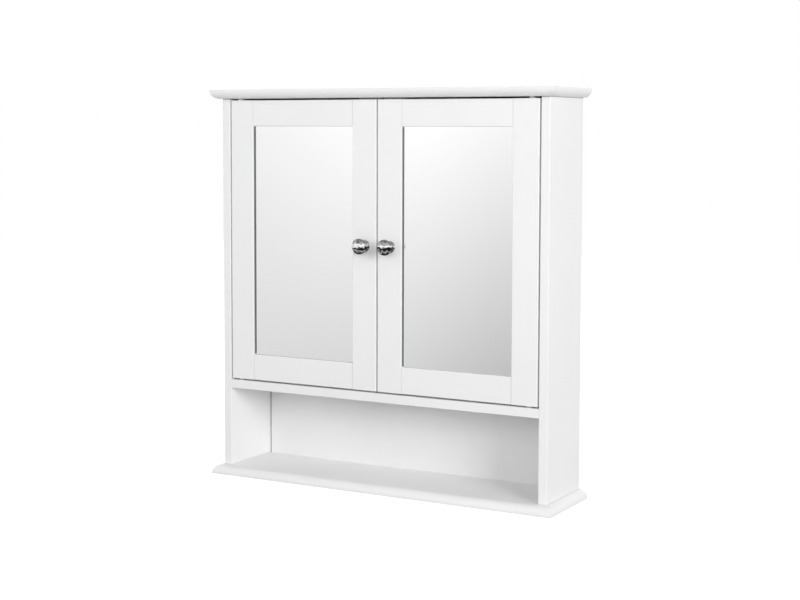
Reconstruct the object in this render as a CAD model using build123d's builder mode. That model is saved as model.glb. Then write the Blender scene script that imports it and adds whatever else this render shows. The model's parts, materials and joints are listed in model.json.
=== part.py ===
from build123d import *
from math import atan2, degrees
import os

os.makedirs("parts", exist_ok=True)

# Two-door mirror cabinet for a wall, in millimetres.
# X runs to the viewer's right, Y towards the wall and Z up.
# The origin is the centre of the bottom board's underside.

# Top and bottom boards
board_width = 560.0
board_depth = 130.0
cabinet_height = 580.0
board_thickness = 13.0
side_overhang = 13.0
front_overhang = 16.0
lip_height = 1.5
moulding_margin = 1.5
edge_round = 0.8

# Sides and fixed shelf
side_thickness = 13.0
shelf_thickness = 13.0
niche_height = 118.0

# Back panel and the rail that hangs the cabinet
back_inset = 5.0
back_thickness = 3.0
back_groove_depth = 6.0
board_groove_depth = 4.0
groove_slack = 0.2
rail_height = 60.0
rail_thickness = 13.0
wall_hole_radius = 2.75
wall_hole_spacing = 400.0
wall_hole_sink_radius = 5.5

# Doors: a grooved frame round a mirror and its backing
door_gap = 2.5
door_thickness = 15.0
stile_width = 39.0
door_rail_width = 38.0
frame_lip = 5.0
mirror_thickness = 3.0
backing_thickness = 3.0
frame_groove_depth = 7.0
panel_slack = 0.2
mirror_edge_gap = 1.0
tenon_gap = 0.5
tenon_slack = 0.05

# Pivots: a collared pin in the case and a flanged bush in the door
pivot_inset = 16.0
pin_radius = 2.5
pin_seat_depth = 10.0
pin_reach = 11.0
collar_radius = 5.0
collar_thickness = 1.0
pivot_clearance = 0.05
bush_radius = 4.0
bush_length = 12.0
bush_flange_radius = 5.0
bush_flange_thickness = 1.2
press_clearance = 0.05

# Knobs
knob_base_radius = 9.0
knob_base_thickness = 3.0
knob_foot_radius = 6.2
knob_neck_radius = 4.6
knob_neck_height = 6.4
knob_head_radius = 11.5
knob_head_height = 14.5
knob_dome_height = 8.0
knob_shoulder_radius = 5.5
knob_under_radius = 2.4
knob_edge_round = 1.2
knob_bore_depth = 9.0
knob_screw_radius = 2.0
knob_screw_head_radius = 4.0
knob_screw_head_height = 2.4
knob_screw_head_chamfer = 0.7
screw_clearance = 0.2

# Magnetic catches
catch_margin = 1.5
catch_depth = 15.0
catch_height = 14.0
catch_ear = 8.0
catch_ear_thickness = 3.0
catch_wall = 3.0
magnet_depth = 11.0
magnet_height = 6.0
pole_thickness = 1.5
strike_width = 24.0
strike_height = 12.0
strike_thickness = 1.2
strike_corner = 3.0
catch_gap = 0.3
small_screw_radius = 1.5
small_screw_head_radius = 2.8
small_screw_head_height = 1.6
small_screw_length = 9.0
strike_screw_spacing = 16.0

# Adjustable shelf on plug-in pins
loose_shelf_thickness = 12.0
loose_shelf_depth = 80.0
loose_shelf_side_gap = 1.0
loose_shelf_back_gap = 1.0
shelf_pin_radius = 2.5
shelf_pin_hole_depth = 8.0
shelf_pin_reach = 9.0
shelf_seat_gap = 0.3
pin_row_pitch = 32.0
pin_rows = 3
pin_column_inset = 16.0

# Case joints: a screw or cam near the front and a dowel near the back
joint_inset = 22.0
case_screw_radius = 2.5
case_screw_length = 40.0
case_screw_head_radius = 4.4
case_screw_head_height = 3.0
cap_radius = 5.0
cap_thickness = 1.8
cap_recess = 0.1
dowel_radius = 3.0
dowel_length = 24.0
dowel_board_depth = 8.5
end_slack = 0.5
cam_radius = 6.0
cam_depth = 9.5
cam_setback = 20.0
cam_slot_width = 1.4
cam_slot_length = 9.0
cam_bolt_radius = 2.5
cam_bolt_seat = 9.0
cam_shank_radius = 1.8
cam_head_radius = 2.2
cam_head_length = 2.5
cam_hollow_clearance = 0.1

# Planes and edges worked out from the sizes above
half_board = board_width / 2
half_case = half_board - side_overhang
half_inside = half_case - side_thickness
wall_y = board_depth / 2
lip_y = -board_depth / 2
front_y = lip_y + front_overhang
case_depth = wall_y - front_y
case_mid_y = (front_y + wall_y) / 2
case_top = cabinet_height - board_thickness
shelf_under = board_thickness + niche_height
shelf_over = shelf_under + shelf_thickness
side_mid_x = half_inside + side_thickness / 2
panel_y = wall_y - back_inset - back_thickness
groove_width = back_thickness + groove_slack
rail_low = case_top - rail_height
moulding_radius = min(board_thickness - lip_height, side_overhang - moulding_margin)

door_low = shelf_over + door_gap
door_high = case_top - door_gap
door_height = door_high - door_low
door_mid_z = (door_low + door_high) / 2
door_mid_y = front_y + door_thickness / 2
door_back_y = front_y + door_thickness
door_width = (2 * half_inside - 3 * door_gap) / 2
door_inner_x = door_gap / 2
door_outer_x = door_inner_x + door_width
opening_inner_x = door_inner_x + stile_width
opening_outer_x = door_outer_x - stile_width
opening_mid_x = (opening_inner_x + opening_outer_x) / 2
opening_width = opening_outer_x - opening_inner_x
opening_height = door_height - 2 * door_rail_width
frame_groove_width = mirror_thickness + backing_thickness + panel_slack
groove_mid_y = front_y + frame_lip + frame_groove_width / 2
panel_reach = frame_groove_depth - mirror_edge_gap
pivot_x = half_inside - pivot_inset
pivot_y = door_mid_y
knob_x = door_inner_x + stile_width / 2
strike_z = door_high - door_gap - strike_height / 2
catch_mouth_y = door_back_y + strike_thickness + catch_gap
catch_mid_y = catch_mouth_y + catch_depth / 2
catch_width = stile_width - 2 * catch_margin
catch_body_width = catch_width - 2 * catch_ear
catch_screw_reach = (catch_width - catch_ear) / 2
magnet_width = catch_body_width - 2 * catch_wall

front_joint_y = front_y + joint_inset
rear_joint_y = wall_y - joint_inset
dowel_side_depth = dowel_length - dowel_board_depth + end_slack
cam_z = shelf_under + shelf_thickness / 2
rail_mid_y = wall_y - rail_thickness / 2
rail_mid_z = rail_low + rail_height / 2

loose_shelf_back = panel_y - loose_shelf_back_gap
loose_shelf_front = loose_shelf_back - loose_shelf_depth
pin_columns = (loose_shelf_front + pin_column_inset, loose_shelf_back - pin_column_inset)
pin_mid_z = (shelf_over + case_top - loose_shelf_thickness) / 2 - shelf_pin_radius
loose_shelf_low = pin_mid_z + shelf_pin_radius + shelf_seat_gap
pin_heights = [pin_mid_z + pin_row_pitch * (row - pin_rows // 2) for row in range(pin_rows)]

hands = {"left": -1, "right": 1}


def facing(x, y, z, normal):
    """A plane at a point whose normal is the way the hole or boss faces."""
    return Plane(origin=(x, y, z), z_dir=normal)


def round_rod(plane, radius, length):
    """Add a round rod that stands on the plane to the part being built."""
    with BuildSketch(plane) as section:
        Circle(radius)
    extrude(section.sketch, amount=length)


def moulded_board(name, low_z, moulded, seat):
    """A board whose front and ends carry a quarter round, mitred at the corners.

    moulded is 0 where the quarter round is on the lower face and -1 on the upper.
    seat is the height of the face that meets the sides, on the moulded side.
    """
    into_case = (0, 0, -1) if moulded == 0 else (0, 0, 1)
    out_of_case = (0, 0, 1) if moulded == 0 else (0, 0, -1)
    outer_z = low_z + board_thickness if moulded == 0 else low_z
    with BuildPart() as board:
        with BuildSketch(Plane.XY.offset(low_z)):
            Rectangle(board_width, board_depth)
        extrude(amount=board_thickness)
        rear_limit = wall_y - edge_round
        worked = board.edges().group_by(Axis.Z)[moulded]
        fillet([edge for edge in worked if edge.center().Y < rear_limit], moulding_radius)
        lip = board.edges().group_by(Axis.Z)[-1 - moulded]
        fillet([edge for edge in lip if edge.center().Y < rear_limit], edge_round)

        # A screw hole at each end, counterbored for the head and its cap, and a dowel hole
        joint_x = [hand * side_mid_x for hand in hands.values()]
        with Locations(*[facing(x, front_joint_y, outer_z, out_of_case) for x in joint_x]):
            CounterBoreHole(
                case_screw_radius + press_clearance,
                cap_radius + press_clearance,
                cap_recess + cap_thickness + case_screw_head_height,
            )
        with Locations(*[facing(x, rear_joint_y, seat, into_case) for x in joint_x]):
            Hole(dowel_radius + press_clearance, dowel_board_depth)
        if moulded == 0:
            pivots = [(hand * pivot_x, pivot_y) for hand in hands.values()]
            with Locations(*[facing(x, y, seat, into_case) for x, y in pivots]):
                Hole(pin_radius + press_clearance, pin_seat_depth)
            catch_points = [
                hand * knob_x + way * catch_screw_reach for hand in hands.values() for way in (-1, 1)
            ]
            with Locations(*[facing(x, catch_mid_y, seat, into_case) for x in catch_points]):
                Hole(small_screw_radius + press_clearance, small_screw_length - catch_ear_thickness)
        else:
            # Groove that holds the lower edge of the back panel
            with BuildSketch(Plane.XY.offset(seat)):
                with Locations((0, panel_y + groove_width / 2)):
                    Rectangle(2 * (half_inside + back_groove_depth), groove_width)
            extrude(amount=-board_groove_depth, mode=Mode.SUBTRACT)
    board.part.label = name
    export_step(board.part, f"parts/{name}.step")


def case_side(name, hand):
    """An upright side with its groove, rows of shelf holes and joint holes."""
    inner_face = hand * half_inside
    inwards = (-hand, 0, 0)
    with BuildPart() as side:
        with BuildSketch(Plane.XY.offset(board_thickness)):
            with Locations((hand * side_mid_x, case_mid_y)):
                Rectangle(side_thickness, case_depth)
        extrude(amount=case_top - board_thickness)
        fillet(side.edges().filter_by(Axis.Z).group_by(Axis.Y)[0], edge_round)

        # Groove for the back panel, stopped under the hanging rail
        with BuildSketch(Plane.XY.offset(board_thickness)):
            with Locations((hand * (half_inside + back_groove_depth / 2), panel_y + groove_width / 2)):
                Rectangle(back_groove_depth, groove_width)
        extrude(amount=rail_low + board_groove_depth - board_thickness, mode=Mode.SUBTRACT)

        pin_points = [(y, z) for y in pin_columns for z in pin_heights]
        with Locations(*[facing(inner_face, y, z, inwards) for y, z in pin_points]):
            Hole(shelf_pin_radius + press_clearance, shelf_pin_hole_depth)
        with Locations(facing(inner_face, front_joint_y, cam_z, inwards)):
            Hole(cam_bolt_radius + press_clearance, cam_bolt_seat)
        dowel_seats = ((rear_joint_y, cam_z), (rail_mid_y, rail_mid_z))
        with Locations(*[facing(inner_face, y, z, inwards) for y, z in dowel_seats]):
            Hole(dowel_radius + press_clearance, dowel_board_depth)

        # Screw and dowel holes in both ends
        for end_z, outwards in ((board_thickness, (0, 0, -1)), (case_top, (0, 0, 1))):
            with Locations(facing(hand * side_mid_x, front_joint_y, end_z, outwards)):
                Hole(case_screw_radius + press_clearance, case_screw_length)
            with Locations(facing(hand * side_mid_x, rear_joint_y, end_z, outwards)):
                Hole(dowel_radius + press_clearance, dowel_side_depth)
    side.part.label = name
    export_step(side.part, f"parts/{name}.step")


def fixed_shelf_board():
    """The board under the doors, with cam pockets in its underside."""
    with BuildPart() as fixed_shelf:
        with BuildSketch(Plane.XY.offset(shelf_under)):
            with Locations((0, (front_y + panel_y) / 2)):
                Rectangle(2 * half_inside, panel_y - front_y)
        extrude(amount=shelf_thickness)
        fillet(fixed_shelf.edges().filter_by(Axis.X).group_by(Axis.Y)[0], edge_round)
        pivots = [(hand * pivot_x, pivot_y) for hand in hands.values()]
        with Locations(*[facing(x, y, shelf_over, (0, 0, 1)) for x, y in pivots]):
            Hole(pin_radius + press_clearance, pin_seat_depth)
        for hand in hands.values():
            cam_x = hand * (half_inside - cam_setback)
            with Locations(facing(cam_x, front_joint_y, shelf_under, (0, 0, -1))):
                Hole(cam_radius + press_clearance, cam_depth)
            with Locations(facing(hand * half_inside, front_joint_y, cam_z, (hand, 0, 0))):
                Hole(cam_bolt_radius + press_clearance, cam_setback)
            with Locations(facing(hand * half_inside, rear_joint_y, cam_z, (hand, 0, 0))):
                Hole(dowel_radius + press_clearance, dowel_side_depth)
    fixed_shelf.part.label = "fixed_shelf"
    export_step(fixed_shelf.part, "parts/fixed_shelf.step")


def back_board():
    """The thin back panel, from the bottom board's groove to the rail's."""
    low_z = board_thickness - board_groove_depth + groove_slack
    high_z = rail_low + board_groove_depth - groove_slack
    with BuildPart() as back_panel:
        with BuildSketch(Plane.XY.offset(low_z)):
            with Locations((0, panel_y + back_thickness / 2)):
                Rectangle(2 * (half_inside + back_groove_depth - groove_slack), back_thickness)
        extrude(amount=high_z - low_z)
    back_panel.part.label = "back_panel"
    export_step(back_panel.part, "parts/back_panel.step")


def wall_rail():
    """The rail against the wall, with two countersunk holes for the wall screws."""
    rail_front = wall_y - rail_thickness
    with BuildPart() as hanging_rail:
        with BuildSketch(Plane.XY.offset(rail_low)):
            with Locations((0, rail_mid_y)):
                Rectangle(2 * half_inside, rail_thickness)
        extrude(amount=rail_height)
        with BuildSketch(Plane.XY.offset(rail_low)):
            with Locations((0, panel_y + groove_width / 2)):
                Rectangle(2 * half_inside, groove_width)
        extrude(amount=board_groove_depth, mode=Mode.SUBTRACT)
        hole_points = [hand * wall_hole_spacing / 2 for hand in hands.values()]
        with Locations(*[facing(x, rail_front, rail_mid_z, (0, -1, 0)) for x in hole_points]):
            CounterSinkHole(wall_hole_radius, wall_hole_sink_radius)
        for hand in hands.values():
            with Locations(facing(hand * half_inside, rail_mid_y, rail_mid_z, (hand, 0, 0))):
                Hole(dowel_radius + press_clearance, dowel_side_depth)
    hanging_rail.part.label = "hanging_rail"
    export_step(hanging_rail.part, "parts/hanging_rail.step")


def loose_shelf():
    """The shelf that lies on four pins."""
    with BuildPart() as adjustable_shelf:
        with BuildSketch(Plane.XY.offset(loose_shelf_low)):
            with Locations((0, (loose_shelf_front + loose_shelf_back) / 2)):
                Rectangle(2 * (half_inside - loose_shelf_side_gap), loose_shelf_depth)
        extrude(amount=loose_shelf_thickness)
        fillet(adjustable_shelf.edges().filter_by(Axis.X).group_by(Axis.Y)[0], edge_round)
    adjustable_shelf.part.label = "adjustable_shelf"
    export_step(adjustable_shelf.part, "parts/adjustable_shelf.step")


def shelf_support_pins():
    """Four plain pins pressed into the sides, on which the shelf lies."""
    with BuildPart() as shelf_pins:
        for hand in hands.values():
            for y in pin_columns:
                inner_face = facing(hand * half_inside, y, pin_mid_z, (-hand, 0, 0))
                pin_end = inner_face.offset(end_slack - shelf_pin_hole_depth)
                round_rod(pin_end, shelf_pin_radius, shelf_pin_hole_depth - end_slack + shelf_pin_reach)
    shelf_pins.part.label = "shelf_pins"
    export_step(shelf_pins.part, "parts/shelf_pins.step")


def case_fasteners():
    """Case screws and their caps, dowels, and the cams of the fixed shelf."""
    ends = ((cabinet_height, -1), (0, 1))
    head_depth = cap_recess + cap_thickness
    with BuildPart() as case_screws:
        for hand in hands.values():
            for outer_z, way in ends:
                seat = facing(hand * side_mid_x, front_joint_y, outer_z + way * head_depth, (0, 0, way))
                round_rod(seat, case_screw_head_radius, case_screw_head_height)
                round_rod(seat, case_screw_radius, case_screw_length)
    case_screws.part.label = "case_screws"
    export_step(case_screws.part, "parts/case_screws.step")

    with BuildPart() as screw_caps:
        for hand in hands.values():
            for outer_z, way in ends:
                seat = facing(hand * side_mid_x, front_joint_y, outer_z + way * cap_recess, (0, 0, way))
                round_rod(seat, cap_radius, cap_thickness)
    screw_caps.part.label = "screw_caps"
    export_step(screw_caps.part, "parts/screw_caps.step")

    with BuildPart() as dowels:
        for hand in hands.values():
            for seat_z, way in ((board_thickness, 1), (case_top, -1)):
                start = seat_z - way * dowel_board_depth
                upright = facing(hand * side_mid_x, rear_joint_y, start, (0, 0, way))
                round_rod(upright, dowel_radius, dowel_length)
            for y, z in ((rear_joint_y, cam_z), (rail_mid_y, rail_mid_z)):
                start = hand * (half_inside + dowel_board_depth)
                round_rod(facing(start, y, z, (-hand, 0, 0)), dowel_radius, dowel_length)
    dowels.part.label = "dowels"
    export_step(dowels.part, "parts/dowels.step")

    neck_length = cam_setback - cam_head_length / 2
    with BuildPart() as cam_bolts:
        for hand in hands.values():
            side_face = facing(hand * half_inside, front_joint_y, cam_z, (-hand, 0, 0))
            round_rod(side_face, cam_bolt_radius, -cam_bolt_seat)
            round_rod(side_face, cam_shank_radius, neck_length)
            round_rod(side_face.offset(neck_length), cam_head_radius, cam_head_length)
    cam_bolts.part.label = "cam_bolts"
    export_step(cam_bolts.part, "parts/cam_bolts.step")

    cam_height = cam_depth - cap_recess
    with BuildPart() as cam_locks:
        for hand in hands.values():
            cam_x = hand * (half_inside - cam_setback)
            pocket_mouth = facing(cam_x, front_joint_y, shelf_under + cap_recess, (0, 0, 1))
            round_rod(pocket_mouth, cam_radius, cam_height)
        for hand in hands.values():
            # Way in for the bolt's head, and the screwdriver slot below
            cam_x = hand * (half_inside - cam_setback)
            with Locations(facing(cam_x + hand * cam_radius, front_joint_y, cam_z, (hand, 0, 0))):
                Hole(cam_head_radius + cam_hollow_clearance, cam_radius + cam_head_length)
            with BuildSketch(Plane.XY.offset(shelf_under)):
                with Locations((cam_x, front_joint_y)):
                    Rectangle(cam_slot_length, cam_slot_width)
                    Rectangle(cam_slot_width, cam_slot_length)
            extrude(amount=cam_slot_width, mode=Mode.SUBTRACT)
    cam_locks.part.label = "cam_locks"
    export_step(cam_locks.part, "parts/cam_locks.step")


def pivot_pin(name, hand, face_z, towards_door):
    """A pin pressed into the case, with a collar in the door's gap."""
    face = facing(hand * pivot_x, pivot_y, face_z, (0, 0, towards_door))
    with BuildPart() as pin:
        round_rod(face, pin_radius, end_slack - pin_seat_depth)
        round_rod(face, collar_radius, collar_thickness)
        round_rod(face, pin_radius, pin_reach)
    pin.part.label = name
    export_step(pin.part, f"parts/{name}.step")


def pivot_bush(name, hand, end_z, outwards):
    """A flanged bush pressed into the end of the outer stile."""
    end = facing(hand * pivot_x, pivot_y, end_z, (0, 0, outwards))
    with BuildPart() as bush:
        round_rod(end, bush_radius, -bush_length)
        round_rod(end, bush_flange_radius, bush_flange_thickness)
        with Locations(end.offset(bush_flange_thickness)):
            Hole(pin_radius + pivot_clearance, bush_length)
    bush.part.label = name
    export_step(bush.part, f"parts/{name}.step")


def door_stile(name, hand, low_x, groove_x, outer):
    """An upright of the door frame, grooved on the edge that faces the mirror."""
    with BuildPart() as stile:
        with BuildSketch(Plane.XY.offset(door_low)):
            with Locations((hand * (low_x + stile_width / 2), door_mid_y)):
                Rectangle(stile_width, door_thickness)
            with Locations((hand * groove_x, groove_mid_y)):
                Rectangle(frame_groove_depth, frame_groove_width, mode=Mode.SUBTRACT)
        extrude(amount=door_height)
        fillet(stile.edges().filter_by(Axis.Z).group_by(Axis.Y)[0], edge_round)
        if outer:
            ends = ((door_low, (0, 0, -1)), (door_high, (0, 0, 1)))
            with Locations(*[facing(hand * pivot_x, pivot_y, z, normal) for z, normal in ends]):
                Hole(bush_radius + press_clearance, bush_length + end_slack)
        else:
            with Locations(facing(hand * knob_x, front_y, door_mid_z, (0, -1, 0))):
                Hole(knob_screw_radius + screw_clearance)
            screw_x = [hand * knob_x + way * strike_screw_spacing / 2 for way in (-1, 1)]
            with Locations(*[facing(x, door_back_y, strike_z, (0, 1, 0)) for x in screw_x]):
                Hole(small_screw_radius + press_clearance, small_screw_length)
    stile.part.label = name
    export_step(stile.part, f"parts/{name}.step")


def door_rail(name, hand, low_z, upper):
    """A cross rail of the door frame, with a stub tenon at each end."""
    start_x = hand * opening_mid_x - opening_width / 2
    tenon_length = frame_groove_depth - tenon_gap
    solid_height = door_rail_width - frame_groove_depth
    groove_z = low_z + frame_groove_depth / 2 if upper else low_z + door_rail_width - frame_groove_depth / 2
    tenon_z = low_z + door_rail_width - solid_height / 2 if upper else low_z + solid_height / 2
    across = Plane(origin=(start_x, 0, 0), x_dir=(0, 1, 0), z_dir=(1, 0, 0))
    with BuildPart() as rail:
        with BuildSketch(across):
            with Locations((door_mid_y, low_z + door_rail_width / 2)):
                Rectangle(door_thickness, door_rail_width)
            with Locations((groove_mid_y, groove_z)):
                Rectangle(frame_groove_width, frame_groove_depth, mode=Mode.SUBTRACT)
        extrude(amount=opening_width)
        fillet(rail.edges().filter_by(Axis.X).group_by(Axis.Y)[0], edge_round)
        with BuildSketch(across.offset(-tenon_length)):
            with Locations((groove_mid_y, tenon_z)):
                Rectangle(frame_groove_width - 2 * tenon_slack, solid_height)
        extrude(amount=opening_width + 2 * tenon_length)
    rail.part.label = name
    export_step(rail.part, f"parts/{name}.step")


def framed_sheet(name, hand, near_y, thickness):
    """A sheet held all round in the frame's groove."""
    with BuildPart() as sheet:
        with BuildSketch(Plane.XY.offset(door_low + door_rail_width - panel_reach)):
            with Locations((hand * opening_mid_x, near_y + thickness / 2)):
                Rectangle(opening_width + 2 * panel_reach, thickness)
        extrude(amount=opening_height + 2 * panel_reach)
    sheet.part.label = name
    export_step(sheet.part, f"parts/{name}.step")


def turned_knob(name, hand):
    """A turned knob: round base, hollow neck and domed head.

    The dome is a tight shoulder arc that runs on into a wide crown arc.
    """
    foot = Plane(origin=(hand * knob_x, front_y, door_mid_z), x_dir=(1, 0, 0), z_dir=(0, 0, -1))
    base_edge = knob_base_radius - knob_edge_round
    under_edge = knob_head_radius - knob_under_radius
    shoulder_x = knob_head_radius - knob_shoulder_radius
    rise = knob_dome_height - knob_shoulder_radius
    crown_drop = (shoulder_x**2 - rise**2) / (2 * rise)
    blend_angle = degrees(atan2(crown_drop, shoulder_x))
    knob_top = knob_head_height + knob_dome_height
    with BuildPart() as knob:
        with BuildSketch(foot):
            with BuildLine():
                Line((0, 0), (knob_base_radius, 0))
                Line((knob_base_radius, 0), (knob_base_radius, knob_base_thickness - knob_edge_round))
                CenterArc((base_edge, knob_base_thickness - knob_edge_round), knob_edge_round, 0, 90)
                Line((base_edge, knob_base_thickness), (knob_foot_radius, knob_base_thickness))
                ThreePointArc(
                    (knob_foot_radius, knob_base_thickness),
                    (knob_neck_radius, knob_neck_height),
                    (under_edge, knob_head_height - knob_under_radius),
                )
                CenterArc((under_edge, knob_head_height), knob_under_radius, -90, 90)
                CenterArc((shoulder_x, knob_head_height), knob_shoulder_radius, 0, blend_angle)
                CenterArc(
                    (0, knob_head_height - crown_drop),
                    knob_dome_height + crown_drop,
                    blend_angle,
                    90 - blend_angle,
                )
                Line((0, knob_top), (0, 0))
            make_face()
        revolve(axis=Axis(foot.origin, (0, -1, 0)))
        with Locations(facing(hand * knob_x, front_y, door_mid_z, (0, 1, 0))):
            Hole(knob_screw_radius + press_clearance, knob_bore_depth)
    knob.part.label = name
    export_step(knob.part, f"parts/{name}.step")


def knob_fixing(name, hand):
    """The screw that holds the knob from behind the stile."""
    seat = facing(hand * knob_x, door_back_y, door_mid_z, (0, 1, 0))
    with BuildPart() as screw:
        round_rod(seat, knob_screw_head_radius, knob_screw_head_height)
        chamfer(screw.edges().sort_by(Axis.Y)[-1], knob_screw_head_chamfer)
        round_rod(seat, knob_screw_radius, end_slack - door_thickness - knob_bore_depth)
    screw.part.label = name
    export_step(screw.part, f"parts/{name}.step")


def strike(prefix, hand):
    """The steel plate on the door that the magnet holds, with its two screws."""
    back = Plane(origin=(hand * knob_x, door_back_y, strike_z), x_dir=(1, 0, 0), z_dir=(0, 1, 0))
    with BuildPart() as plate:
        with BuildSketch(back):
            RectangleRounded(strike_width, strike_height, strike_corner)
            with GridLocations(strike_screw_spacing, 0, 2, 1):
                Circle(small_screw_head_radius + press_clearance, mode=Mode.SUBTRACT)
        extrude(amount=strike_thickness)
    plate.part.label = f"{prefix}_strike_plate"
    export_step(plate.part, f"parts/{prefix}_strike_plate.step")

    # The heads lie in the plate's holes, level with its face
    with BuildPart() as screws:
        with BuildSketch(back):
            with GridLocations(strike_screw_spacing, 0, 2, 1):
                Circle(small_screw_head_radius)
        extrude(amount=strike_thickness)
        with BuildSketch(back):
            with GridLocations(strike_screw_spacing, 0, 2, 1):
                Circle(small_screw_radius)
        extrude(amount=-small_screw_length)
    screws.part.label = f"{prefix}_strike_screws"
    export_step(screws.part, f"parts/{prefix}_strike_screws.step")


def magnetic_catch(name, hand):
    """The catch body under the top board, with an ear at each end and a pocket for the magnet."""
    under_board = Plane(origin=(hand * knob_x, catch_mid_y, case_top), z_dir=(0, 0, -1))
    with BuildPart() as catch:
        with BuildSketch(under_board):
            Rectangle(catch_width, catch_depth)
        extrude(amount=catch_ear_thickness)
        with BuildSketch(under_board):
            Rectangle(catch_body_width, catch_depth)
        extrude(amount=catch_height)
        pocket_y = catch_mouth_y + magnet_depth / 2
        with BuildSketch(Plane(origin=(hand * knob_x, pocket_y, case_top - catch_height / 2))):
            Rectangle(magnet_width + 2 * press_clearance, magnet_depth + 2 * press_clearance)
        extrude(amount=magnet_height / 2 + press_clearance, both=True, mode=Mode.SUBTRACT)
        screw_x = [hand * knob_x + way * catch_screw_reach for way in (-1, 1)]
        ear_z = case_top - catch_ear_thickness
        with Locations(*[facing(x, catch_mid_y, ear_z, (0, 0, -1)) for x in screw_x]):
            Hole(small_screw_radius + press_clearance, catch_ear_thickness)
    catch.part.label = name
    export_step(catch.part, f"parts/{name}.step")


def catch_hardware():
    """The magnet and two pole plates of each catch, and the catch screws."""
    magnet_z = case_top - catch_height / 2
    core_height = magnet_height - 2 * pole_thickness
    with BuildPart() as catch_magnets:
        for hand in hands.values():
            centre = (hand * knob_x, catch_mouth_y + magnet_depth / 2)
            with BuildSketch(Plane.XY.offset(magnet_z - magnet_height / 2)):
                with Locations(centre):
                    Rectangle(magnet_width, magnet_depth)
            extrude(amount=magnet_height)
            # The magnet itself is set back between its two pole plates
            with BuildSketch(Plane.XY.offset(magnet_z - core_height / 2)):
                with Locations((hand * knob_x, catch_mouth_y)):
                    Rectangle(magnet_width, 2 * pole_thickness)
            extrude(amount=core_height, mode=Mode.SUBTRACT)
    catch_magnets.part.label = "catch_magnets"
    export_step(catch_magnets.part, "parts/catch_magnets.step")

    with BuildPart() as catch_screws:
        for hand in hands.values():
            for way in (-1, 1):
                x = hand * knob_x + way * catch_screw_reach
                seat = facing(x, catch_mid_y, case_top - catch_ear_thickness, (0, 0, -1))
                round_rod(seat, small_screw_head_radius, small_screw_head_height)
                round_rod(seat, small_screw_radius, -small_screw_length)
    catch_screws.part.label = "catch_screws"
    export_step(catch_screws.part, "parts/catch_screws.step")


def door(prefix, hand):
    """All the pieces of one door, with the pins that it turns on."""
    inner_groove_x = opening_inner_x - frame_groove_depth / 2
    outer_groove_x = opening_outer_x + frame_groove_depth / 2
    door_stile(f"{prefix}_inner_stile", hand, door_inner_x, inner_groove_x, outer=False)
    door_stile(f"{prefix}_outer_stile", hand, opening_outer_x, outer_groove_x, outer=True)
    door_rail(f"{prefix}_bottom_rail", hand, door_low, upper=False)
    door_rail(f"{prefix}_top_rail", hand, door_high - door_rail_width, upper=True)
    mirror_y = front_y + frame_lip
    framed_sheet(f"{prefix}_mirror", hand, mirror_y, mirror_thickness)
    framed_sheet(f"{prefix}_mirror_backing", hand, mirror_y + mirror_thickness, backing_thickness)
    turned_knob(f"{prefix}_knob", hand)
    knob_fixing(f"{prefix}_knob_screw", hand)
    strike(prefix, hand)
    magnetic_catch(f"{prefix}_catch", hand)
    pivot_pin(f"{prefix}_upper_pin", hand, case_top, towards_door=-1)
    pivot_pin(f"{prefix}_lower_pin", hand, shelf_over, towards_door=1)
    pivot_bush(f"{prefix}_upper_bush", hand, door_high, outwards=1)
    pivot_bush(f"{prefix}_lower_bush", hand, door_low, outwards=-1)


moulded_board("bottom_board", 0, moulded=-1, seat=board_thickness)
moulded_board("top_board", case_top, moulded=0, seat=case_top)
fixed_shelf_board()
back_board()
wall_rail()
loose_shelf()
shelf_support_pins()
case_fasteners()
catch_hardware()
for prefix, hand in hands.items():
    case_side(f"{prefix}_side", hand)
    door(prefix, hand)
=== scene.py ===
import bpy
import bmesh
import json
import math
from mathutils import Vector, Matrix


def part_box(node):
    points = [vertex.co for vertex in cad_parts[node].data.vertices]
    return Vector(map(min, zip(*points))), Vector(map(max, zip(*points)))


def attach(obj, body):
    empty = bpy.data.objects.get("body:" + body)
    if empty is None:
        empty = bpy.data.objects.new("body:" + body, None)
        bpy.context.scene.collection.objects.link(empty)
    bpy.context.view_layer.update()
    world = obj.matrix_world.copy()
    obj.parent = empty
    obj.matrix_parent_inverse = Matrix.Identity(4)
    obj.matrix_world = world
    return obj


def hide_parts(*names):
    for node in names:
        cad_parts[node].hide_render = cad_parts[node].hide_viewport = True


# Two-door mirror cabinet, dressed over its CAD frame. Metres, Z up, doors towards -Y.
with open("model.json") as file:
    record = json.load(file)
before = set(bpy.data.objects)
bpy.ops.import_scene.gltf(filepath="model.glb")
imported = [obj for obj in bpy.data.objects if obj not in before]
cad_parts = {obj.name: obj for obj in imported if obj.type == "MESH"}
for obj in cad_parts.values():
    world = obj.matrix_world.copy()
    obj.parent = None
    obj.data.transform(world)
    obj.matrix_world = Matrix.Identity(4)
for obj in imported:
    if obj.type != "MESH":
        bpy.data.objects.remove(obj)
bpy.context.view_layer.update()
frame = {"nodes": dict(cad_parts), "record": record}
scene = bpy.context.scene
nodes = frame["nodes"]
hands = ("left", "right")
print("frame loaded:", len(nodes), "nodes")


# camera, at the photograph's viewpoint
viewpoint = {
    "place": (1.10442, -1.96266, 0.52319),
    "azimuth": 29.13,  # degrees round to the right of straight on
    "elevation": 4.10,  # looking down
    "roll": 0.14,
    "lens": 69.91,
    "shiftY": -0.075,
}


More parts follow.
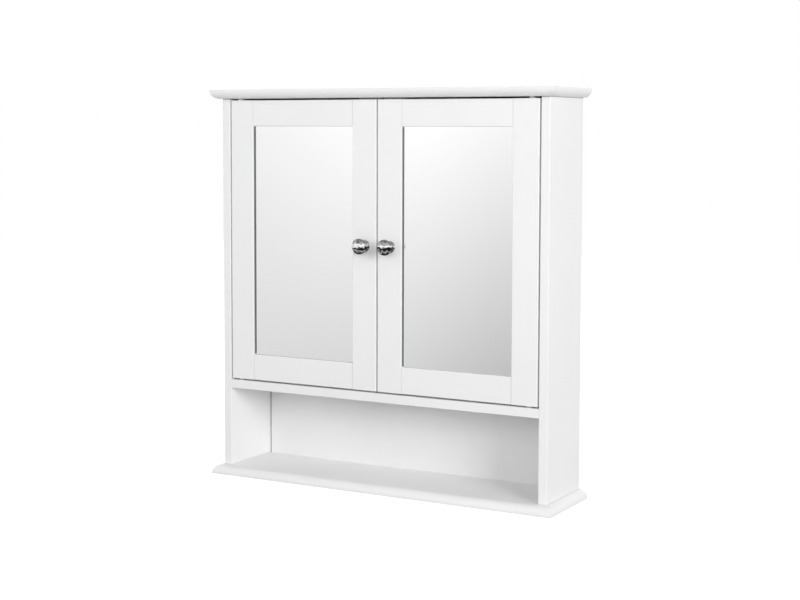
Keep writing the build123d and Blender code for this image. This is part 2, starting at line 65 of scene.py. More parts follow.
def placeCamera():
    azimuth = math.radians(viewpoint["azimuth"])
    elevation = math.radians(viewpoint["elevation"])
    roll = math.radians(viewpoint["roll"])
    ahead = Vector((-math.sin(azimuth) * math.cos(elevation), math.cos(azimuth) * math.cos(elevation),
                    -math.sin(elevation)))
    right = Vector((math.cos(azimuth), math.sin(azimuth), 0))
    up = right.cross(ahead)
    rolledRight = math.cos(roll) * right + math.sin(roll) * up
    rolledUp = -math.sin(roll) * right + math.cos(roll) * up
    lens = bpy.data.cameras.new("studioCamera")
    lens.sensor_width = 36
    lens.lens = viewpoint["lens"]
    lens.shift_y = viewpoint["shiftY"]
    lens.clip_start = 0.02
    camera = bpy.data.objects.new("studioCamera", lens)
    scene.collection.objects.link(camera)
    turn = Matrix((rolledRight, rolledUp, -ahead)).transposed()
    camera.matrix_world = Matrix.Translation(viewpoint["place"]) @ turn.to_4x4()
    scene.camera = camera


placeCamera()
scene.view_settings.view_transform = "Standard"
scene.view_settings.look = "None"
print("camera placed")


# materials: every pattern reads object coordinates, in metres
def startMaterial(name):
    material = bpy.data.materials.new(name)
    material.use_nodes = True
    tree = material.node_tree
    return material, tree, tree.nodes["Principled BSDF"]


def noiseField(tree, scale, detail=3.0, stretch=(1, 1, 1)):
    coords = tree.nodes.new("ShaderNodeTexCoord")
    mapping = tree.nodes.new("ShaderNodeMapping")
    mapping.inputs["Scale"].default_value = stretch
    noise = tree.nodes.new("ShaderNodeTexNoise")
    noise.inputs["Scale"].default_value = scale
    noise.inputs["Detail"].default_value = detail
    tree.links.new(coords.outputs["Object"], mapping.inputs["Vector"])
    tree.links.new(mapping.outputs["Vector"], noise.inputs["Vector"])
    return noise.outputs["Fac"]


def remap(tree, value, fromSpan, toSpan=(0, 1), smooth=False):
    node = tree.nodes.new("ShaderNodeMapRange")
    if smooth:
        node.interpolation_type = "SMOOTHSTEP"
    labels = ("From Min", "From Max", "To Min", "To Max")
    for label, number in zip(labels, (*fromSpan, *toSpan)):
        node.inputs[label].default_value = number
    tree.links.new(value, node.inputs["Value"])
    return node.outputs["Result"]


def product(tree, a, b):
    node = tree.nodes.new("ShaderNodeMath")
    node.operation = "MULTIPLY"
    for socket, value in zip(node.inputs, (a, b)):
        if isinstance(value, float):
            socket.default_value = value
        else:
            tree.links.new(value, socket)
    return node.outputs["Value"]


noiseSpan = (0.3, 0.7)  # where most of a noise lies


def tintBetween(tree, fac, low, high, shader):
    ramp = tree.nodes.new("ShaderNodeValToRGB")
    for element, position, colour in zip(ramp.color_ramp.elements, noiseSpan, (low, high)):
        element.position = position
        element.color = (*colour, 1)
    tree.links.new(fac, ramp.inputs["Fac"])
    tree.links.new(ramp.outputs["Color"], shader.inputs["Base Color"])


def roughBetween(tree, fac, low, high, shader):
    tree.links.new(remap(tree, fac, noiseSpan, (low, high)), shader.inputs["Roughness"])


def bumpFrom(tree, fields, shader):
    normal = None
    for fac, strength, distance in fields:
        bump = tree.nodes.new("ShaderNodeBump")
        bump.inputs["Strength"].default_value = strength
        bump.inputs["Distance"].default_value = distance
        tree.links.new(fac, bump.inputs["Height"])
        if normal is not None:
            tree.links.new(normal, bump.inputs["Normal"])
        normal = bump.outputs["Normal"]
    tree.links.new(normal, shader.inputs["Normal"])


def bandOf(tree, value, low, high, soft):
    # 1 between low and high, with soft ends
    rise = remap(tree, value, (low - soft, low + soft), smooth=True)
    fall = remap(tree, value, (high - soft, high + soft), (1, 0), smooth=True)
    return product(tree, rise, fall)


def objectAxes(tree):
    # x without its sign, y and z: the cabinet is the same on both hands
    coords = tree.nodes.new("ShaderNodeTexCoord")
    split = tree.nodes.new("ShaderNodeSeparateXYZ")
    plain = tree.nodes.new("ShaderNodeMath")
    plain.operation = "ABSOLUTE"
    tree.links.new(coords.outputs["Object"], split.inputs["Vector"])
    tree.links.new(split.outputs["X"], plain.inputs[0])
    return {"x": plain.outputs["Value"], "y": split.outputs["Y"], "z": split.outputs["Z"]}


def addSeamsAndShade(material, seamsAndShadeList):
    # each band, a dark joint line or painted shade, has its spans along the axes, how strongly it darkens and
    # its softness
    tree = material.node_tree
    shader = tree.nodes["Principled BSDF"]
    axes = objectAxes(tree)
    for spans, strength, soft in seamsAndShadeList:
        amount = strength
        for axis, low, high in spans:
            amount = product(tree, bandOf(tree, axes[axis], low, high, soft), amount)
        mix = tree.nodes.new("ShaderNodeMix")
        mix.data_type = "RGBA"
        mix.inputs[7].default_value = (0.02, 0.02, 0.022, 1)
        tree.links.new(amount, mix.inputs["Factor"])
        tree.links.new(shader.inputs["Base Color"].links[0].from_socket, mix.inputs[6])
        tree.links.new(mix.outputs[2], shader.inputs["Base Color"])
    return material


# metres: dark joint lines where board meets board, and painted shade where the glass meets its frame and down
# the back panel's groove
seamsAndPaintedShade = {
    "frame": [
        ([("x", 0.04032, 0.04085)], 0.30, 0.00005),
        ([("x", 0.21190, 0.21243)], 0.30, 0.00005),
        # painted shade: the reveal's wall darkened next to the glass, down in the rebate
        ([("x", 0.0399, 0.2129), ("y", -0.0470, -0.0430), ("z", 0.1856, 0.5254)], 0.78, 0.0003),
    ],
    "side": [
        ([("z", 0.5661, 0.5680)], 0.5, 0.0002),
        ([("z", 0.0120, 0.0137)], 0.30, 0.0002),
    ],
    # painted shade: a dark band in the corner where the back panel runs into each side's groove
    "back": [([("x", 0.2523, 0.2600)], 0.72, 0.0003)],
    # painted shade: dark strips along the glass's edges, next to the frame
    "mirrorSides": [
        ([("x", 0.0390, 0.0411)], 0.6, 0.0006),
        ([("x", 0.2116, 0.2135)], 0.6, 0.0006),
        ([("z", 0.1840, 0.1850)], 0.35, 0.0002),
        ([("z", 0.5260, 0.5270)], 0.35, 0.0002),
    ],
}

paintFinish = {
    "low": (0.888, 0.888, 0.889),
    "high": (0.906, 0.906, 0.907),
    "roughness": (0.33, 0.42),
    "peelScale": 430,  # sprayed lacquer's fine orange peel
    "peelDepth": 0.00003,
    "waveScale": 26,
    "waveDepth": 0.00008,
}


def satinPaint(name="satinWhitePaint"):
    material, tree, shader = startMaterial(name)
    tintBetween(tree, noiseField(tree, 7, 4), paintFinish["low"], paintFinish["high"], shader)
    roughBetween(tree, noiseField(tree, 38, 3), *paintFinish["roughness"], shader)
    bumpFrom(tree, [
        (noiseField(tree, paintFinish["waveScale"], 1), 0.25, paintFinish["waveDepth"]),
        (noiseField(tree, paintFinish["peelScale"], 2), 0.35, paintFinish["peelDepth"]),
    ], shader)
    shader.inputs["IOR"].default_value = 1.48
    return material


def coatedHardboard():
    # printed white foil over fibreboard, duller and with a trace of fibre
    material, tree, shader = startMaterial("coatedHardboard")
    fibre = noiseField(tree, 14, 5, (1, 1, 0.4))
    tintBetween(tree, fibre, (0.862, 0.862, 0.863), (0.888, 0.888, 0.889), shader)
    roughBetween(tree, noiseField(tree, 60, 3), 0.46, 0.56, shader)
    bumpFrom(tree, [(noiseField(tree, 620, 3, (1, 1, 0.5)), 0.4, 0.00003)], shader)
    return addSeamsAndShade(material, seamsAndPaintedShade["back"])


def silveredGlass():
    material, tree, shader = startMaterial("silveredGlass")
    shader.inputs["Metallic"].default_value = 1
    tintBetween(tree, noiseField(tree, 5, 2), (0.930, 0.933, 0.932), (0.938, 0.940, 0.939), shader)
    roughBetween(tree, noiseField(tree, 18, 4), 0.004, 0.014, shader)
    return addSeamsAndShade(material, seamsAndPaintedShade["mirrorSides"])


chromePaintedReflection = {
    # painted reflection: tones over the normal's tilt, from straight down to straight up, painted as a lit
    # room would lie in polished chrome
    "tones": ((-1.0, 0.01), (-0.59, 0.01), (-0.48, 0.50), (-0.34, 0.58), (-0.27, 0.01), (-0.08, 0.01),
              (0.01, 0.85), (0.15, 0.95), (0.27, 0.42), (0.48, 0.40), (0.62, 0.06), (0.76, 0.24), (1.0, 0.36)),
    "waver": 0.22,  # how far noise shifts the painted reflection bands
    "waverScale": 190,
    "paintedShadeEdge": (-0.97, -0.72),  # painted shade: the far edge falls off to dark
}


def chromeWithPaintedReflection():
    material, tree, shader = startMaterial("chromeWithPaintedReflection")
    shader.inputs["Metallic"].default_value = 1
    geometry = tree.nodes.new("ShaderNodeNewGeometry")
    split = tree.nodes.new("ShaderNodeSeparateXYZ")
    tree.links.new(geometry.outputs["Normal"], split.inputs["Vector"])
    reach = chromePaintedReflection["waver"]
    waver = remap(tree, noiseField(tree, chromePaintedReflection["waverScale"], 1), (0.25, 0.75), (-reach, reach))
    tilt = tree.nodes.new("ShaderNodeMath")
    tree.links.new(split.outputs["Z"], tilt.inputs[0])
    tree.links.new(waver, tilt.inputs[1])
    # painted reflection: a ramp of tones over the normal's tilt goes into the base colour
    ramp = tree.nodes.new("ShaderNodeValToRGB")
    tones = chromePaintedReflection["tones"]
    while len(ramp.color_ramp.elements) < len(tones):
        ramp.color_ramp.elements.new(0.5)
    for element, (height, tone) in zip(ramp.color_ramp.elements, tones):
        element.position = (height + 1) / 2
        element.color = (tone, tone, tone * 1.01, 1)
    tree.links.new(remap(tree, tilt.outputs["Value"], (-1, 1)), ramp.inputs["Fac"])
    # painted shade: the knob's side facing -x is darkened
    edge = remap(tree, split.outputs["X"], chromePaintedReflection["paintedShadeEdge"], (0.3, 1))
    shaded = tree.nodes.new("ShaderNodeVectorMath")
    shaded.operation = "SCALE"
    tree.links.new(ramp.outputs["Color"], shaded.inputs[0])
    tree.links.new(edge, shaded.inputs["Scale"])
    tree.links.new(shaded.outputs["Vector"], shader.inputs["Base Color"])
    roughBetween(tree, noiseField(tree, 240, 3), 0.03, 0.06, shader)
    return material


def zincSteel():
    material, tree, shader = startMaterial("zincSteel")
    shader.inputs["Metallic"].default_value = 1
    tintBetween(tree, noiseField(tree, 320, 4), (0.52, 0.53, 0.55), (0.66, 0.67, 0.69), shader)
    roughBetween(tree, noiseField(tree, 500, 3), 0.24, 0.38, shader)
    bumpFrom(tree, [(noiseField(tree, 900, 3), 0.3, 0.00002)], shader)
    return material


def mouldedNylon():
    material, tree, shader = startMaterial("whiteNylon")
    tintBetween(tree, noiseField(tree, 90, 3), (0.80, 0.80, 0.785), (0.84, 0.84, 0.83), shader)
    roughBetween(tree, noiseField(tree, 300, 3), 0.42, 0.52, shader)
    shader.inputs["Subsurface Weight"].default_value = 0.05
    shader.inputs["Subsurface Radius"].default_value = (0.002, 0.002, 0.002)
    bumpFrom(tree, [(noiseField(tree, 1100, 2), 0.3, 0.00002)], shader)
    return material


def beechDowel():
    material, tree, shader = startMaterial("beechDowel")
    grain = noiseField(tree, 900, 5, (1, 1, 0.12))
    tintBetween(tree, grain, (0.56, 0.40, 0.24), (0.74, 0.58, 0.40), shader)
    roughBetween(tree, noiseField(tree, 400, 3), 0.55, 0.7, shader)
    bumpFrom(tree, [(noiseField(tree, 1200, 3, (1, 1, 0.15)), 0.4, 0.00004)], shader)
    return material


finishes = {
    "white_board": satinPaint(),
    "back_board": coatedHardboard(),
    "mirror_glass": silveredGlass(),
    "polished_chrome": chromeWithPaintedReflection(),
    "zinc_steel": zincSteel(),
    "white_plastic": mouldedNylon(),
    "dowel_wood": beechDowel(),
}
framePaint = addSeamsAndShade(satinPaint("framePaint"), seamsAndPaintedShade["frame"])
sidePaint = addSeamsAndShade(satinPaint("sidePaint"), seamsAndPaintedShade["side"])
slotOf = {part["node"]: part["material_slot"] for part in frame["record"]["subparts"]}
for nodeName, cadNode in nodes.items():
    finish = finishes[slotOf[nodeName]]
    if nodeName.endswith(("_stile", "_rail")) and nodeName != "hanging_rail":
        finish = framePaint
    elif nodeName.endswith("_side"):
        finish = sidePaint
    cadNode.data.materials.clear()
    cadNode.data.materials.append(finish)
print("finishes on", len(nodes), "nodes")


# pieces that take a smoother mesh than their CAD node
def addPiece(name, mesh, body, slot):
    piece = bpy.data.objects.new(name, mesh)
    scene.collection.objects.link(piece)
    mesh.materials.clear()
    mesh.materials.append(finishes[slot])
    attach(piece, body)
    return piece


def bakedMesh(holder, name):
    # what the modifiers make, as a plain mesh
    graph = bpy.context.evaluated_depsgraph_get()
    graph.update()
    mesh = bpy.data.meshes.new_from_object(holder.evaluated_get(graph), depsgraph=graph)
    mesh.name = name
    old = holder.data
    bpy.data.objects.remove(holder)
    bpy.data.meshes.remove(old)
    return mesh


def markSharp(mesh, degrees):
    shell = bmesh.new()
    shell.from_mesh(mesh)
    bmesh.ops.remove_doubles(shell, verts=shell.verts, dist=0.000004)
    limit = math.radians(degrees)
    for face in shell.faces:
        face.smooth = True
    for edge in shell.edges:
        edge.smooth = len(edge.link_faces) == 2 and edge.calc_face_angle(0) < limit
    shell.to_mesh(mesh)
    shell.free()


def smoothCopy(nodeName, name, body, degrees=26):
    # merged copy of the node with normals weighted to the flat faces
    mesh = nodes[nodeName].data.copy()
    markSharp(mesh, degrees)
    holder = bpy.data.objects.new(name + "Holder", mesh)
    scene.collection.objects.link(holder)
    weighted = holder.modifiers.new("flatFaces", "WEIGHTED_NORMAL")
    weighted.keep_sharp = True
    weighted.weight = 100
    piece = addPiece(name, bakedMesh(holder, name), body, slotOf[nodeName])
    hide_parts(nodeName)
    return piece


smoothCopy("top_board", "topBoardMoulded", "case")
smoothCopy("bottom_board", "bottomBoardMoulded", "case")
print("moulded boards smoothed")


# knobs, turned
knobShape = {
    "sides": 96,
    "baseRadius": 0.0088,
    "baseHeight": 0.003,
    "brimHeight": 0.0009,
    "brimRound": 0.0003,
    "stepIn": 0.0006,  # a fine step in the foot
    "baseRound": 0.0011,
    "footRadius": 0.0062,
    "neckRadius": 0.0047,
    "neckHeight": 0.0064,
    "headRadius": 0.01148,
    "headHeight": 0.0145,
    "underRadius": 0.0024,
    "shoulderRadius": 0.0055,
    "arcSteps": 12,
}


def arcPoints(centre, radius, startDegrees, endDegrees, steps):
    return [
        (centre[0] + radius * math.cos(math.radians(startDegrees + (endDegrees - startDegrees) * i / steps)),
         centre[1] + radius * math.sin(math.radians(startDegrees + (endDegrees - startDegrees) * i / steps)))
        for i in range(steps + 1)
    ]


def arcThrough(a, b, c, steps):
    # the arc from a by b to c, without its first point
    ax, ay, bx, by, cx, cy = (*a, *b, *c)
    d = 2 * (ax * (by - cy) + bx * (cy - ay) + cx * (ay - by))
    squares = [x * x + y * y for x, y in (a, b, c)]
    centreX = (squares[0] * (by - cy) + squares[1] * (cy - ay) + squares[2] * (ay - by)) / d
    centreY = (squares[0] * (cx - bx) + squares[1] * (ax - cx) + squares[2] * (bx - ax)) / d
    radius = math.hypot(ax - centreX, ay - centreY)
    first = math.degrees(math.atan2(ay - centreY, ax - centreX))
    last = math.degrees(math.atan2(cy - centreY, cx - centreX))
    if last - first > 180:
        last -= 360
    if last - first < -180:
        last += 360
    return arcPoints((centreX, centreY), radius, first, last, steps)[1:]


def knobProfile(reach):
    # radius and height off the stile, from the foot to the top of the dome
    base, baseTop = knobShape["baseRadius"], knobShape["baseHeight"]
    head, headZ = knobShape["headRadius"], knobShape["headHeight"]
    under, shoulder = knobShape["underRadius"], knobShape["shoulderRadius"]
    steps = knobShape["arcSteps"]
    brim, brimRound = knobShape["brimHeight"], knobShape["brimRound"]
    stepIn, baseRound = knobShape["stepIn"], knobShape["baseRound"]
    points = [(base, 0.0), (base, brim)]
    points += arcPoints((base - brimRound, brim), brimRound, 0, 90, 4)[1:]
    points += [(base - stepIn, brim + brimRound)]
    points += arcPoints((base - stepIn - baseRound, baseTop - baseRound), baseRound, 0, 90, steps)
    points += [(knobShape["footRadius"], baseTop)]
    points += arcThrough(points[-1], (knobShape["neckRadius"], knobShape["neckHeight"]),
                         (head - under, headZ - under), 2 * steps)
    points += arcPoints((head - under, headZ), under, -90, 0, steps)[1:]
    rise = reach - headZ - shoulder
    drop = ((head - shoulder) ** 2 - rise ** 2) / (2 * rise)
    blendAngle = math.degrees(math.atan2(drop, head - shoulder))
    points += arcPoints((head - shoulder, headZ), shoulder, 0, blendAngle, steps)[1:]
    crown = arcPoints((0, headZ - drop), reach - headZ + drop, blendAngle, 90, 2 * steps)
    points += crown[1:-1]
    return points


def turnedMesh(name, profile, centreX, footY, centreZ, sides):
    # rings round an axis that runs along -Y, closed at both ends
    shell = bmesh.new()
    rings = []
    for radius, height in profile:
        ring = []
        for i in range(sides):
            angle = 2 * math.pi * i / sides
            ring.append(shell.verts.new((centreX + radius * math.cos(angle), footY - height,
                                         centreZ + radius * math.sin(angle))))
        rings.append(ring)
    for low, high in zip(rings, rings[1:]):
        for i in range(sides):
            j = (i + 1) % sides
            shell.faces.new((low[i], low[j], high[j], high[i]))
    shell.faces.new(rings[0])
    shell.faces.new(rings[-1])
    bmesh.ops.recalc_face_normals(shell, faces=shell.faces)
    mesh = bpy.data.meshes.new(name)
    shell.to_mesh(mesh)
    shell.free()
    return mesh


for side in hands:
    low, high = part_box(f"{side}_knob")
    middle = (low + high) / 2
    knobMesh = turnedMesh(f"{side}KnobTurned", knobProfile(high.y - low.y), middle.x, high.y, middle.z,
                          knobShape["sides"])
    markSharp(knobMesh, 50)
    knob = addPiece(f"{side}KnobTurned", knobMesh, f"{side}_door", "polished_chrome")
    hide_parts(f"{side}_knob")
print("knobs turned")


# screws with a cross recess, grown on points by one node tree; sizes in millimetres
screwKinds = {
    "knob": {"Head Radius": 4.0, "Head Height": 2.4, "Dome Radius": 5.6, "Shank Radius": 2.0,
             "Shank Length": 23.4, "Cross Length": 4.2, "Cross Width": 0.75, "Cross Depth": 1.3},
    "strike": {"Head Radius": 2.8, "Head Height": 1.2, "Dome Radius": 40.0, "Shank Radius": 1.5,
               "Shank Length": 9.0, "Cross Length": 3.0, "Cross Width": 0.6, "Cross Depth": 0.8},
    "catch": {"Head Radius": 2.8, "Head Height": 1.6, "Dome Radius": 3.8, "Shank Radius": 1.5,
              "Shank Length": 9.0, "Cross Length": 3.0, "Cross Width": 0.6, "Cross Depth": 1.0},
}


screwSeeds = {"knob": 3, "strike": 11, "catch": 21}
catchEarInset = 0.004


def screwTree():
    tree = bpy.data.node_groups.new("crossRecessScrews", "GeometryNodeTree")
    face = tree.interface
    face.new_socket("Geometry", in_out="INPUT", socket_type="NodeSocketGeometry")
    for label in screwKinds["knob"]:
        face.new_socket(label, in_out="INPUT", socket_type="NodeSocketFloat")
    face.new_socket("Head Faces", in_out="INPUT", socket_type="NodeSocketVector")
    face.new_socket("Seed", in_out="INPUT", socket_type="NodeSocketInt")
    face.new_socket("Finish", in_out="INPUT", socket_type="NodeSocketMaterial")
    face.new_socket("Geometry", in_out="OUTPUT", socket_type="NodeSocketGeometry")
    add, link = tree.nodes.new, tree.links.new
    given = add("NodeGroupInput").outputs
    result = add("NodeGroupOutput")

    def maths(operation, a, b):
        node = add("ShaderNodeMath")
        node.operation = operation
        for socket, value in zip(node.inputs, (a, b)):
            if isinstance(value, (int, float)):
                socket.default_value = value
            else:
                link(value, socket)
        return node.outputs[0]

    def along(z):
        node = add("ShaderNodeCombineXYZ")
        link(z, node.inputs["Z"])
        return node.outputs[0]

    def moved(geometry, offset):
        node = add("GeometryNodeTransform")
        link(geometry, node.inputs["Geometry"])
        link(offset, node.inputs["Translation"])
        return node.outputs["Geometry"]

    def rod(radius, depth, sides):
        node = add("GeometryNodeMeshCylinder")
        node.inputs["Vertices"].default_value = sides
        link(radius, node.inputs["Radius"])
        link(depth, node.inputs["Depth"])
        return node.outputs["Mesh"]

    def bar(x, y, z):
        size = add("ShaderNodeCombineXYZ")
        for socket, value in zip(size.inputs, (x, y, z)):
            link(value, socket)
        node = add("GeometryNodeMeshCube")
        link(size.outputs[0], node.inputs["Size"])
        return node.outputs["Mesh"]

    # the head is a short rod cut by a ball, less a cross
    headDisc = moved(rod(given["Head Radius"], given["Head Height"], 40),
                     along(maths("DIVIDE", given["Head Height"], 2)))
    ball = add("GeometryNodeMeshUVSphere")
    ball.inputs["Segments"].default_value = 40
    ball.inputs["Rings"].default_value = 32
    link(given["Dome Radius"], ball.inputs["Radius"])
    dome = moved(ball.outputs["Mesh"], along(maths("SUBTRACT", given["Head Height"], given["Dome Radius"])))
    domed = add("GeometryNodeMeshBoolean")
    domed.operation = "INTERSECT"
    link(headDisc, domed.inputs["Mesh 2"])
    link(dome, domed.inputs["Mesh 2"])
    crossTop = along(given["Head Height"])
    twice = maths("MULTIPLY", given["Cross Depth"], 2)
    recess = add("GeometryNodeMeshBoolean")
    recess.operation = "DIFFERENCE"
    link(domed.outputs["Mesh"], recess.inputs["Mesh 1"])
    link(moved(bar(given["Cross Length"], given["Cross Width"], twice), crossTop), recess.inputs["Mesh 2"])
    link(moved(bar(given["Cross Width"], given["Cross Length"], twice), crossTop), recess.inputs["Mesh 2"])
    shank = moved(rod(given["Shank Radius"], given["Shank Length"], 24),
                  along(maths("MULTIPLY", given["Shank Length"], -0.5)))
    whole = add("GeometryNodeJoinGeometry")
    link(recess.outputs["Mesh"], whole.inputs["Geometry"])
    link(shank, whole.inputs["Geometry"])

    # each screw faces the same way and stops at its own angle
    facing = add("FunctionNodeAlignRotationToVector")
    facing.axis = "Z"
    link(given["Head Faces"], facing.inputs["Vector"])
    angle = add("FunctionNodeRandomValue")
    angle.data_type = "FLOAT"
    angle.inputs[3].default_value = math.pi
    link(given["Seed"], angle.inputs["Seed"])
    spin = add("FunctionNodeRotateRotation")
    spin.rotation_space = "LOCAL"
    turnAbout = add("FunctionNodeAxisAngleToRotation")
    link(angle.outputs[1], turnAbout.inputs["Angle"])
    link(facing.outputs["Rotation"], spin.inputs["Rotation"])
    link(turnAbout.outputs["Rotation"], spin.inputs["Rotate By"])
    spread = add("GeometryNodeInstanceOnPoints")
    spread.inputs["Scale"].default_value = (0.001, 0.001, 0.001)
    link(given["Geometry"], spread.inputs["Points"])
    link(whole.outputs["Geometry"], spread.inputs["Instance"])
    link(spin.outputs["Rotation"], spread.inputs["Rotation"])
    real = add("GeometryNodeRealizeInstances")
    link(spread.outputs["Instances"], real.inputs["Geometry"])
    finish = add("GeometryNodeSetMaterial")
    link(real.outputs["Geometry"], finish.inputs["Geometry"])
    link(given["Finish"], finish.inputs["Material"])
    link(finish.outputs["Geometry"], result.inputs[0])
    return tree


crossRecessScrews = screwTree()


def growScrews(name, seats, kind, facing, seed, nodeName, body):
    points = bpy.data.meshes.new(name + "Seats")
    points.from_pydata(seats, [], [])
    holder = bpy.data.objects.new(name + "Holder", points)
    scene.collection.objects.link(holder)
    grow = holder.modifiers.new("screws", "NODES")
    grow.node_group = crossRecessScrews
    values = {**screwKinds[kind], "Head Faces": facing, "Seed": seed, "Finish": finishes["zinc_steel"]}
    for socket in crossRecessScrews.interface.items_tree:
        if socket.in_out == "INPUT" and socket.name in values:
            grow[socket.identifier] = values[socket.name]
    mesh = bakedMesh(holder, name)
    markSharp(mesh, 32)
    piece = addPiece(name, mesh, body, "zinc_steel")
    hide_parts(nodeName)


catchSeats = []
for number, side in enumerate(hands):
    low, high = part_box(f"{side}_knob_screw")
    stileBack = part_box(f"{side}_inner_stile")[1].y
    growScrews(f"{side}KnobScrew", [((low.x + high.x) / 2, stileBack, (low.z + high.z) / 2)], "knob",
               (0, 1, 0),
               screwSeeds["knob"] + number, f"{side}_knob_screw", f"{side}_door")
    low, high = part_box(f"{side}_strike_screws")
    headRadius = screwKinds["strike"]["Head Radius"] / 1000
    growScrews(f"{side}StrikeScrews",
               [(x, stileBack, (low.z + high.z) / 2) for x in (low.x + headRadius, high.x - headRadius)],
               "strike", (0, 1, 0), screwSeeds["strike"] + number, f"{side}_strike_screws", f"{side}_door")
    low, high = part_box(f"{side}_catch")
    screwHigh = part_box("catch_screws")[1]
    earZ = screwHigh.z - screwKinds["catch"]["Shank Length"] / 1000
    for x in (low.x + catchEarInset, high.x - catchEarInset):
        catchSeats.append((x, (low.y + high.y) / 2, earZ))
growScrews("catchScrewsCross", catchSeats, "catch", (0, 0, -1), screwSeeds["catch"], "catch_screws", "case")
print("screws grown")


# stage and light
studio = {
    "floorHalf": 4.0,
    "floorDrop": 0.0004,
    "floorTone": 0.54,
    "floorLift": 0.02,
    "floorSeen": 0.95,  # extra brightness towards the camera only
    "ambient": 0.43,  # what the room gives the painted faces
    "skyTop": 1.0,  # what the mirrors and the chrome see above
    "skyLow": 0.86,  # and near the horizon
    "skySpan": (-0.25, 0.35),  # over which the one goes into the other
    "aim": (0, 0, 0.28),
    "softBoxes": {  # place, width, height, watts
        "leftBox": ((-1.5, -2.6, 1.2), 1.2, 1.2, 8),
        "cameraBox": ((0.75, -2.4, 1.05), 1.0, 0.8, 11),
        "rightBox": ((3.62, -2.20, 1.35), 1.6, 1.6, 99),
        "rearLamp": ((-0.6, 2.6, 1.6), 1.6, 1.2, 22),  # for the views from behind
    },
}


mirrorCard = {
    "y": -1.0,
    "half": 1.5, "low": 0.0, "high": 0.75,
    "fade": 0.12,
    "gain": 1.2,  # the tones are stored over this, so that they can pass 1
    "toneHeight": 0.53,  # where the high tones are reached
    "lowTones": ((0.25, 0.52), (0.48, 0.72), (0.86, 0.75)),  # out from the middle, at the floor
    "highTones": ((0.25, 0.96), (0.48, 1.16), (0.86, 0.93)),  # the same, at the height of the cabinet's top
}


def toneAcross(tree, axes, key):
    # the card's tone over the distance from the middle
    half, gain = mirrorCard["half"], mirrorCard["gain"]
    ramp = tree.nodes.new("ShaderNodeValToRGB")
    ramp.color_ramp.interpolation = "B_SPLINE"
    ramp.color_ramp.elements.new(0.5)
    for element, (x, tone) in zip(ramp.color_ramp.elements, mirrorCard[key]):
        element.position = x / half
        element.color = (tone / gain, tone / gain, tone / gain, 1)
    tree.links.new(remap(tree, axes["x"], (0, half)), ramp.inputs["Fac"])
    return ramp.outputs["Color"]


def paleFloor():
    material, tree, shader = startMaterial("paleFloor")
    tone = studio["floorTone"]
    low, high = (tone, tone, tone), (tone + 0.01, tone + 0.01, tone + 0.01)
    tintBetween(tree, noiseField(tree, 1.5, 2), low, high, shader)
    shader.inputs["Roughness"].default_value = 0.9
    shader.inputs["Specular IOR Level"].default_value = 0.1
    shader.inputs["Emission Color"].default_value = (1, 1, 1, 1)
    rays = tree.nodes.new("ShaderNodeLightPath")
    lift = remap(tree, rays.outputs["Is Camera Ray"], (0, 1), (studio["floorLift"], studio["floorSeen"]))
    tree.links.new(lift, shader.inputs["Emission Strength"])
    mirrored = tree.nodes.new("ShaderNodeEmission")
    mirrored.inputs["Strength"].default_value = mirrorCard["gain"]
    tree.links.new(toneAcross(tree, objectAxes(tree), "lowTones"), mirrored.inputs["Color"])
    either = tree.nodes.new("ShaderNodeMixShader")
    tree.links.new(rays.outputs["Is Glossy Ray"], either.inputs["Fac"])
    tree.links.new(shader.outputs["BSDF"], either.inputs[1])
    tree.links.new(mirrored.outputs["Emission"], either.inputs[2])
    tree.links.new(either.outputs["Shader"], tree.nodes["Material Output"].inputs["Surface"])
    half = studio["floorHalf"]
    mesh = bpy.data.meshes.new("floor")
    z = -studio["floorDrop"]
    corners = [(-half, -half, z), (half, -half, z), (half, half, z), (-half, half, z)]
    mesh.from_pydata(corners, [], [(0, 1, 2, 3)])
    mesh.materials.append(material)
    floor = bpy.data.objects.new("floor", mesh)
    scene.collection.objects.link(floor)


def softRoom():
    # white to the camera, a vertical gradient to the mirrors, plain ambient light to the paint
    world = bpy.data.worlds.new("softRoom")
    scene.world = world
    world.use_nodes = True
    tree = world.node_tree
    tree.nodes.clear()
    coords = tree.nodes.new("ShaderNodeTexCoord")
    split = tree.nodes.new("ShaderNodeSeparateXYZ")
    tree.links.new(coords.outputs["Generated"], split.inputs["Vector"])
    height = remap(tree, split.outputs["Z"], studio["skySpan"], (studio["skyLow"], studio["skyTop"]))
    rays = tree.nodes.new("ShaderNodeLightPath")
    seen = tree.nodes.new("ShaderNodeBackground")
    toPaint = tree.nodes.new("ShaderNodeBackground")
    toPaint.inputs["Strength"].default_value = studio["ambient"]
    toCamera = tree.nodes.new("ShaderNodeBackground")
    firstMix = tree.nodes.new("ShaderNodeMixShader")
    lastMix = tree.nodes.new("ShaderNodeMixShader")
    out = tree.nodes.new("ShaderNodeOutputWorld")
    for background in (seen, toPaint, toCamera):
        background.inputs["Color"].default_value = (1, 1, 1, 1)
    tree.links.new(height, seen.inputs["Strength"])
    tree.links.new(rays.outputs["Is Diffuse Ray"], firstMix.inputs["Fac"])
    tree.links.new(seen.outputs["Background"], firstMix.inputs[1])
    tree.links.new(toPaint.outputs["Background"], firstMix.inputs[2])
    tree.links.new(rays.outputs["Is Camera Ray"], lastMix.inputs["Fac"])
    tree.links.new(firstMix.outputs["Shader"], lastMix.inputs[1])
    tree.links.new(toCamera.outputs["Background"], lastMix.inputs[2])
    tree.links.new(lastMix.outputs["Shader"], out.inputs["Surface"])


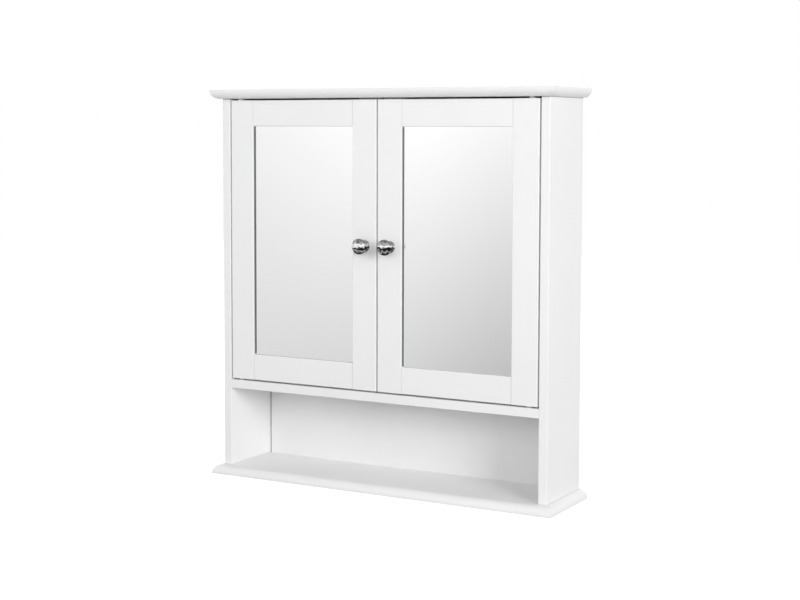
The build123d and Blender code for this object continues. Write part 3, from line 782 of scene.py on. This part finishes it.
def addSoftBox(name, place, width, height, watts):
    lamp = bpy.data.lights.new(name, "AREA")
    lamp.shape = "RECTANGLE"
    lamp.size = width
    lamp.size_y = height
    lamp.energy = watts
    box = bpy.data.objects.new(name, lamp)
    scene.collection.objects.link(box)
    ahead = Vector(studio["aim"]) - Vector(place)
    box.matrix_world = Matrix.Translation(place) @ ahead.to_track_quat("-Z", "Y").to_matrix().to_4x4()
    box.visible_camera = False
    box.visible_glossy = False


def gradientCard():
    # what the mirrors see from the camera's side: a soft grey falling to the floor, unseen by anything else
    material = bpy.data.materials.new("gradientCard")
    material.use_nodes = True
    tree = material.node_tree
    tree.nodes.clear()
    axes = objectAxes(tree)
    half = mirrorCard["half"]
    rise = remap(tree, axes["z"], (0, mirrorCard["toneHeight"]))
    blend = tree.nodes.new("ShaderNodeMix")
    blend.data_type = "RGBA"
    tree.links.new(rise, blend.inputs["Factor"])
    tree.links.new(toneAcross(tree, axes, "lowTones"), blend.inputs[6])
    tree.links.new(toneAcross(tree, axes, "highTones"), blend.inputs[7])
    fade = mirrorCard["fade"]
    xMask = bandOf(tree, axes["x"], -1, half - fade / 2, fade / 2)
    zMask = bandOf(tree, axes["z"], -1, mirrorCard["high"] - fade / 2, fade / 2)
    mask = product(tree, xMask, zMask)
    glow = tree.nodes.new("ShaderNodeEmission")
    glow.inputs["Strength"].default_value = mirrorCard["gain"]
    tree.links.new(blend.outputs[2], glow.inputs["Color"])
    clear = tree.nodes.new("ShaderNodeBsdfTransparent")
    mix = tree.nodes.new("ShaderNodeMixShader")
    out = tree.nodes.new("ShaderNodeOutputMaterial")
    tree.links.new(mask, mix.inputs["Fac"])
    tree.links.new(clear.outputs["BSDF"], mix.inputs[1])
    tree.links.new(glow.outputs["Emission"], mix.inputs[2])
    tree.links.new(mix.outputs["Shader"], out.inputs["Surface"])
    low, high, y = (mirrorCard[key] for key in ("low", "high", "y"))
    mesh = bpy.data.meshes.new("gradientCard")
    mesh.from_pydata([(-half, y, low), (half, y, low), (half, y, high), (-half, y, high)], [], [(0, 1, 2, 3)])
    mesh.materials.append(material)
    card = bpy.data.objects.new("gradientCard", mesh)
    scene.collection.objects.link(card)
    card.visible_camera = False
    card.visible_diffuse = False
    card.visible_shadow = False
    card.visible_transmission = False


paleFloor()
softRoom()
for boxName, boxValues in studio["softBoxes"].items():
    addSoftBox(boxName, *boxValues)
gradientCard()
print("stage and light set")
